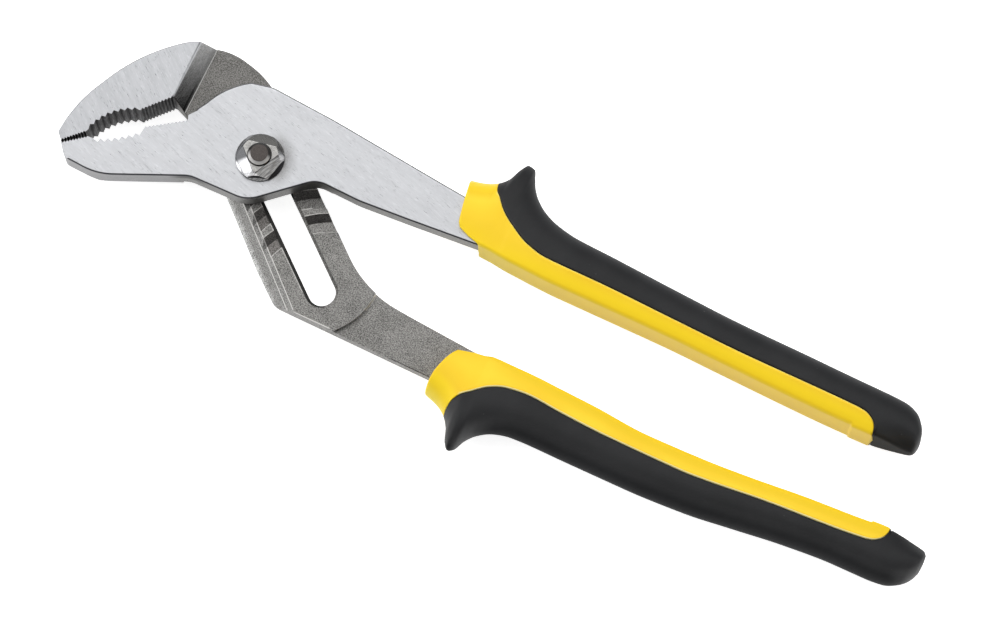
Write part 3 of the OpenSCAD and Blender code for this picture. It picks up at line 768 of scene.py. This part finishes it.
class GripForm:
    """The grip's outer form in mm, outward positive: cross sections along the handle, the boundary
    between yellow and black, the collar's edge, and the raised pad at the end of the inner wall as
    its start, stop and rise."""

    def __init__(self, rows, boundary, collar, pad, outward):
        self.rows = steady([[x, y_in * outward, y_out * outward, half] for x, y_in, y_out, half in rows])
        self.boundary = steady([[x, y * outward] for x, y in boundary])
        self.collar = steady([[y * outward, x] for x, y in collar])
        self.boundary_ends = (boundary[0][0], boundary[-1][0])
        self.length = rows[-1][0]
        self.pad = pad
        self.outward = outward
        self.middle = 8.5
        self.kept = {}

    def section(self, x):
        """Front half of the section as points with their run, wall's corner and boundary."""
        key = round(x, 4)
        if key in self.kept:
            return self.kept[key]
        near, far, half = self.rows(x)
        first_end, last_end = self.boundary_ends
        plain_side, lost_at_tip = 0.78, 0.5
        shoulder, roundness = 0.45, 2.4
        corner, steps = 8, 60
        side = plain_side - lost_at_tip * smooth((x - last_end) / (self.length - last_end))
        wall = side * half
        points = [(near, wall * k / corner) for k in range(corner + 1)]
        for k in range(1, steps + 1):
            u = math.sin(math.pi / 2 * k / steps)
            if u < shoulder:
                crown = 1 - (1 - side) * (1 - u / shoulder) ** 2
            else:
                crown = math.sqrt(max(0.0, 1 - ((u - shoulder) / (1 - shoulder)) ** roundness))
            points.append((near + (far - near) * u, half * crown))
        run = run_of(points)
        turn = run[corner]
        cut = min(1.1, 0.3 * wall, 0.2 * (far - near))
        first = self.walk(points, run, turn - cut)
        last = self.walk(points, run, turn + cut)
        bend = []
        for k in range(9):
            t = k / 8
            bend.append(tuple((1 - t) ** 2 * a + 2 * t * (1 - t) * b + t * t * c
                              for a, b, c in zip(first, points[corner], last)))
        eased_points = [p for p, r in zip(points, run) if r < turn - cut] + bend
        eased_points += [p for p, r in zip(points, run) if r > turn + cut]
        run = run_of(eased_points)
        border = run[-1]
        if x >= last_end:
            border = (wall - cut) * (1 - smooth((x - last_end) / 0.6))
        elif x > first_end:
            level = self.boundary(x)[0]
            for i in range(len(run) - 1):
                before, after = eased_points[i][0], eased_points[i + 1][0]
                if run[i] > wall - cut and before <= level <= after:
                    step = (level - before) / max(1e-9, after - before)
                    border = run[i] + step * (run[i + 1] - run[i])
                    break
            if level < near:
                border = wall - cut
        self.kept[key] = (eased_points, run, wall, border)
        return self.kept[key]

    @staticmethod
    def walk(points, run, place):
        """The point at a place along the run."""
        i = min(max(bisect_right(run, place) - 1, 0), len(run) - 2)
        t = (place - run[i]) / max(1e-9, run[i + 1] - run[i])
        t = min(max(t, 0.0), 1.0)
        return tuple(a + t * (b - a) for a, b in zip(points[i], points[i + 1]))

    def point(self, x, run_place, sunk, front):
        """One surface point, sunk below the skin, on the front or the back half."""
        points, run, wall, _ = self.section(x)
        here = self.walk(points, run, run_place)
        nearby = 0.05
        a = self.walk(points, run, max(0.0, run_place - nearby))
        b = self.walk(points, run, min(run[-1], run_place + nearby))
        length = max(1e-9, math.dist(a, b))
        out_y = (b[1] - a[1]) / length
        out_z = -(b[0] - a[0]) / length
        y = here[0] + out_y * sunk
        z = (here[1] + out_z * sunk) * (1 if front else -1)
        start, stop, rise = self.pad
        raised = smooth((x - start) / 0.5) * smooth((wall + 1.2 - run_place) / 1.6) * rise
        if x > stop:
            raised *= 1 - smooth((x - stop) / 0.4)
        return (x / 1000, (y - raised) * self.outward / 1000, (self.middle + z) / 1000)


def stations(form, first, last):
    """Places of the cross sections: close where the form turns, wide on the plain handle."""
    least_step = 0.05
    plain_step = 1.6
    places = [first]
    start, stop = form.boundary_ends
    dense = ((start - 0.2, start + 1.5, 0.07), (start - 0.4, start + 4, 0.15), (first, first + 28, 0.3),
             (stop - 8, stop + 2, 0.25), (last - 9, last, 0.25))
    while places[-1] < last - least_step:
        fitting = [fine_step for low, high, fine_step in dense if low <= places[-1] + 1e-6 < high]
        step = min(fitting, default=plain_step)
        for low, high, fine_step in dense:
            if places[-1] + 1e-6 < low < places[-1] + step:
                step = max(least_step, low - places[-1])
        places.append(min(last, places[-1] + step))
    return places


def closed_form(name, loops):
    """A closed mesh from loops of equal count; each loop's first half mirrors its second half."""
    shape = bmesh.new()
    made = [[shape.verts.new(p) for p in loop] for loop in loops]
    count = len(loops[0])
    for a, b in zip(made, made[1:]):
        for k in range(count):
            n = (k + 1) % count
            shape.faces.new((a[k], a[n], b[n], b[k]))
    for loop in (made[0], made[-1]):
        for k in range(count // 2 - 1):
            shape.faces.new((loop[k], loop[k + 1], loop[count - 2 - k], loop[count - 1 - k]))
    bmesh.ops.remove_doubles(shape, verts=shape.verts, dist=1e-6)
    bmesh.ops.dissolve_degenerate(shape, edges=shape.edges, dist=1e-7)
    return smooth_piece(shape, name)


# Rows of the rim on both sides of the boundary: how far back from it, and how deep below the skin.
rim = ((0.60, 0.0), (0.38, 0.05), (0.17, 0.15), (0.05, 0.34), (0.04, 0.9))


def core_piece(name, form, first, last, back_from=None):
    """The yellow core: from the wall's middle out to the boundary on both faces, and the collar.
    Each lane along the handle begins at the collar's edge with a small rounded lip. On the back,
    back_from holds that edge at or behind a place, up to a depth."""
    wall_lanes, bend_lanes, side_lanes = 12, 5, 17
    side_from = wall_lanes + bend_lanes
    rim_from = side_from + side_lanes
    lanes = range(rim_from + len(rim))
    lip = ((0.0, 0.45), (0.1, 0.2), (0.25, 0.06), (0.45, 0.0), (0.7, 0.0))
    lip_reach = lip[-1][0]

    def placed(lane, x):
        _, run, wall, border = form.section(x)
        share = smooth((run[-1] - border) / 0.8) * min(1.0, border / 0.8)
        if lane >= rim_from:
            back, sunk = rim[lane - rim_from]
            return max(0.0, border - back * share), sunk * share
        end = max(0.0, border - rim[0][0] * share)
        wall_end = min(wall, 0.45 * end)
        bend_end = min(wall + 1.1, 0.6 * end)
        if lane <= wall_lanes:
            return wall_end * lane / wall_lanes, 0.0
        if lane <= side_from:
            return wall_end + (bend_end - wall_end) * (lane - wall_lanes) / bend_lanes, 0.0
        return bend_end + (end - bend_end) * (lane - side_from) / side_lanes, 0.0

    def starts(front):
        found = []
        for lane in lanes:
            x = first + 6
            for attempt in range(40):
                points, run, _, _ = form.section(x)
                depth = form.walk(points, run, placed(lane, x)[0])[0]
                begin = form.collar(depth)[0]
                if back_from and not front:
                    begin += max(0.0, back_from[0] - begin) * smooth((back_from[1] - depth) / 1.5)
                x += (begin - x) * 0.5
            found.append(x)
        return found

    def half_row(begins, front, reach, sunk_start, station):
        row = []
        for lane in lanes:
            x = max(station, begins[lane] + reach)
            place, sunk = placed(lane, x)
            row.append(form.point(x, place, sunk + sunk_start, front))
        return row

    fore, rear = starts(True), starts(False)
    rows = [(reach, depth, 0.0) for reach, depth in lip]
    rows += [(lip_reach, 0.0, x) for x in stations(form, first, last) if x > min(fore) + lip_reach]
    loops = [half_row(rear, False, *row)[::-1] + half_row(fore, True, *row) for row in rows]
    return closed_form(name, loops)


def cover_piece(name, form, first, last):
    """The black cover: from the front boundary round the outside to the back one."""
    lanes = 40
    loops = []
    for x in stations(form, first, last):
        _, run, _, border = form.section(x)
        share = min(1.0, border / 0.8) * smooth((run[-1] - border) / 1.6)
        half_loop = []
        for back, sunk in reversed(rim):
            half_loop.append((min(run[-1], border + back * share), sunk * share))
        low = min(run[-1], border + rim[0][0] * share)
        for k in range(1, lanes + 1):
            half_loop.append((low + (run[-1] - low) * k / lanes, 0.0))
        fore, rear = [[form.point(x, place, sunk, front) for place, sunk in half_loop]
                      for front in (True, False)]
        loops.append(fore + rear[::-1])
    tip = loops[-1]
    centre = [sum(p[i] for p in tip) / len(tip) for i in range(3)]
    for share, ahead in ((0.8, 0.00008), (0.5, 0.00016), (0.15, 0.0002)):
        loops.append([(x + ahead, centre[1] + (y - centre[1]) * share, centre[2] + (z - centre[2]) * share)
                      for x, y, z in tip])
    return closed_form(name, loops)


# Cross sections as place, inner side, outer side and half thickness, then the line between yellow
# and black and the collar's edge as points, all in mm.
lower_rows = [
    [67, -24, -39.4, 7.4], [70, -24, -40.3, 7.4], [73, -23.9, -41.4, 7.5], [75.5, -23.8, -43.2, 7.6],
    [77.5, -23.8, -46, 7.7], [79, -23.8, -49.8, 7.8], [80.5, -23.8, -51.3, 7.8], [82, -23.8, -50.4, 7.9],
    [83.3, -23.8, -47.5, 8], [85.6, -23.85, -44.6, 8.1], [89.8, -23.9, -42, 8.2], [94.5, -24, -40.9, 8.4],
    [100, -24.3, -40.7, 8.5], [112, -24.9, -40.8, 8.5], [128, -26.1, -40.8, 8.5], [145, -25.8, -40.1, 8.5],
    [158, -25, -38.6, 8.5], [173, -23.7, -36.8, 8.5], [187, -22.9, -35.9, 8.5], [196, -22.3, -35.9, 8.4],
    [201, -22.4, -35.5, 8.2], [205, -22.6, -33.7, 7.3], [207.6, -22.95, -31, 5.8],
    [208.5, -23.8, -28.9, 3.6]]
lower_line = [
    [75.4, -56], [75.7, -43.2], [76.4, -39.8], [80.3, -35.4], [84.2, -32.4], [88.6, -30.7], [94.7, -30.1],
    [104.6, -30.9], [118, -31.6], [140, -31.8], [147, -31.4], [163, -29.9], [191, -28], [193.4, -27.5],
    [195.4, -26.2], [196.6, -24.3], [197, -22.4]]
lower_collar = [
    [82, -14], [81.4, -23.9], [80.4, -24.2], [79.2, -24.7], [77.3, -25], [74.2, -25.4], [72.5, -25.9],
    [71.6, -26.7], [69.6, -31.1], [68.4, -36.4], [68.3, -40], [68.3, -56]]
lower_form = GripForm(lower_rows, lower_line, lower_collar, pad=(191.5, 197.0, 0.4), outward=-1)
lower_core = core_piece("lower_grip_hard_core", lower_form, first=67.0, last=197.7)
lower_cover = cover_piece("lower_grip_soft_cover", lower_form, first=75.5, last=208.5)

yellow_look, shader, where, normal = look("yellow_plastic")
x, y, z = split(where)
facing_y, facing_z = split(normal)[1:]
skin = use(grain, where, Size=0.0005)
dots = use(specks, where, Gap=0.006, Size=0.02, Few=0.7)["Mask"]
colour = mixed(span(noise(where, 60.0), 0.3, 0.7), (0.885, 0.57, 0.018), (0.93, 0.63, 0.026))
# Faces towards -Y are painted a lighter yellow and faces towards +Y a darker one, as painted light and
# shade; faces turned far towards -Y, such as the upper grip's inner wall, are painted paler still.
colour = over(colour, span(facing_y, -0.12, -0.38), (1.0, 0.71, 0.020))
colour = over(colour, span(facing_y, 0.12, 0.38), (0.76, 0.51, 0.006))
colour = over(colour, span(facing_y, -0.60, -0.95), (1.0, 0.775, 0.060))

# The lip beside the black carries a pale painted highlight: towards +Y on the upper grip and -Y on the
# lower one.
upper_lip_highlight = both(span(facing_y, 0.25, 0.55), span(y, -0.010, -0.008), span(x, 0.0625, 0.0630))
lower_lip_highlight = both(span(facing_y, -0.08, -0.32), span(y, -0.014, -0.016), span(x, 0.0770, 0.0780))
for lip, pale_reflection in ((upper_lip_highlight, (0.84, 0.69, 0.18)), (lower_lip_highlight, (1.0, 0.92, 0.50))):
    colour = over(colour, both(lip, span(facing_z, 0.15, 0.35)), pale_reflection, 0.8)
colour = over(colour, dots, (0.45, 0.27, 0.02), 0.4)
rough = sum_of(0.36, (skin["Tone"], 0.16))
finished(shader, colour, rough, skin["Height"], strength=0.25, depth=0.00003, metallic=0.0)
shader.inputs["Specular IOR Level"].default_value = 0.2

# The soft black is dusty. Its gloss is strongest on the side towards the user, and fades above it and
# underneath.
black_look, shader, where, normal = look("black_soft")
facing_y = split(normal)[1]
skin = use(grain, where, Size=0.0004)
dust = use(specks, where, Gap=0.0028, Size=0.06, Few=0.6)["Mask"]
haze = span(noise(where, 90.0, 3.0), 0.3, 0.7)
colour = mixed(haze, (0.0135, 0.0139, 0.0150), (0.0178, 0.0182, 0.0195))
colour = over(colour, dust, (0.22, 0.21, 0.20), 0.35)
rough = sum_of(0.46, (skin["Tone"], 0.2))
finished(shader, colour, rough, skin["Height"], strength=0.4, depth=0.00004, metallic=0.0)
sheen = eased(span(facing_y, -0.5, 0.5), 0.40, 0.08)
sheen = eased(span(facing_y, -0.50, -0.90), sheen, 0.04)
tree.links.new(sheen, shader.inputs["Specular IOR Level"])

lower_core.data.materials.append(yellow_look)
lower_cover.data.materials.append(black_look)
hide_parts("lower_grip_core")
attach(lower_core, "slotted_half")
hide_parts("lower_grip_cover")
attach(lower_cover, "slotted_half")


# Upper grip
# The same two-shot moulding on the front arm's handle end, with its flat wall towards the lower
# grip and its thumb stop on the outside behind the collar.
upper_rows = [
    [53, 2.6, 19.5, 7.3], [58, 2.6, 20.6, 7.3], [61.5, 2.6, 22.2, 7.4], [64, 2.6, 24.8, 7.6],
    [65.5, 2.55, 28.4, 7.8], [67, 2.5, 30.4, 7.9], [68.9, 2.35, 30, 8], [70, 2.2, 27.8, 8],
    [71.3, 2.05, 25.2, 8.1], [73.6, 1.8, 22.4, 8.1], [77, 1.6, 19.9, 8.2], [81, 1.35, 18.2, 8.3],
    [88, 1.05, 16.8, 8.4], [98, 1, 16.2, 8.5], [120, 0.85, 14.7, 8.5], [138, 0.25, 13.7, 8.5],
    [157, -0.4, 13.3, 8.5], [172, -0.7, 12.9, 8.5], [182, -0.6, 12.7, 8.5], [187, -0.4, 12.4, 8.4],
    [190.8, -0.2, 11.1, 7.9], [193.2, 0.1, 8.6, 6.9], [194.4, 0.7, 6.2, 5.2], [194.8, 1.5, 4.5, 3]]
upper_line = [
    [61.6, 34], [61.9, 21.5], [64.2, 17.2], [67.1, 13.8], [71, 11], [76.8, 8], [83, 6.6], [99.7, 6.3],
    [123, 5.4], [142, 4.7], [175, 4.3], [178, 4], [180.2, 3], [181.7, 1.4], [182.4, -0.7]]
upper_collar = [
    [64.6, -9], [64.4, 2.4], [63.9, 2.8], [61.1, 3.7], [59, 4.4], [58, 4.8], [57, 6.2], [56.3, 9.4],
    [55.6, 13.2], [54.9, 17.1], [54.3, 20], [54.2, 34]]
upper_form = GripForm(upper_rows, upper_line, upper_collar, pad=(176.0, 182.4, 0.4), outward=1)
upper_core = core_piece("upper_grip_hard_core", upper_form, first=53.0, last=183.1, back_from=(64.4, 8.5))
upper_cover = cover_piece("upper_grip_soft_cover", upper_form, first=61.75, last=194.8)
upper_core.data.materials.append(yellow_look)
upper_cover.data.materials.append(black_look)
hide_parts("upper_grip_core")
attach(upper_core, "front_half")
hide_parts("upper_grip_cover")
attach(upper_cover, "front_half")
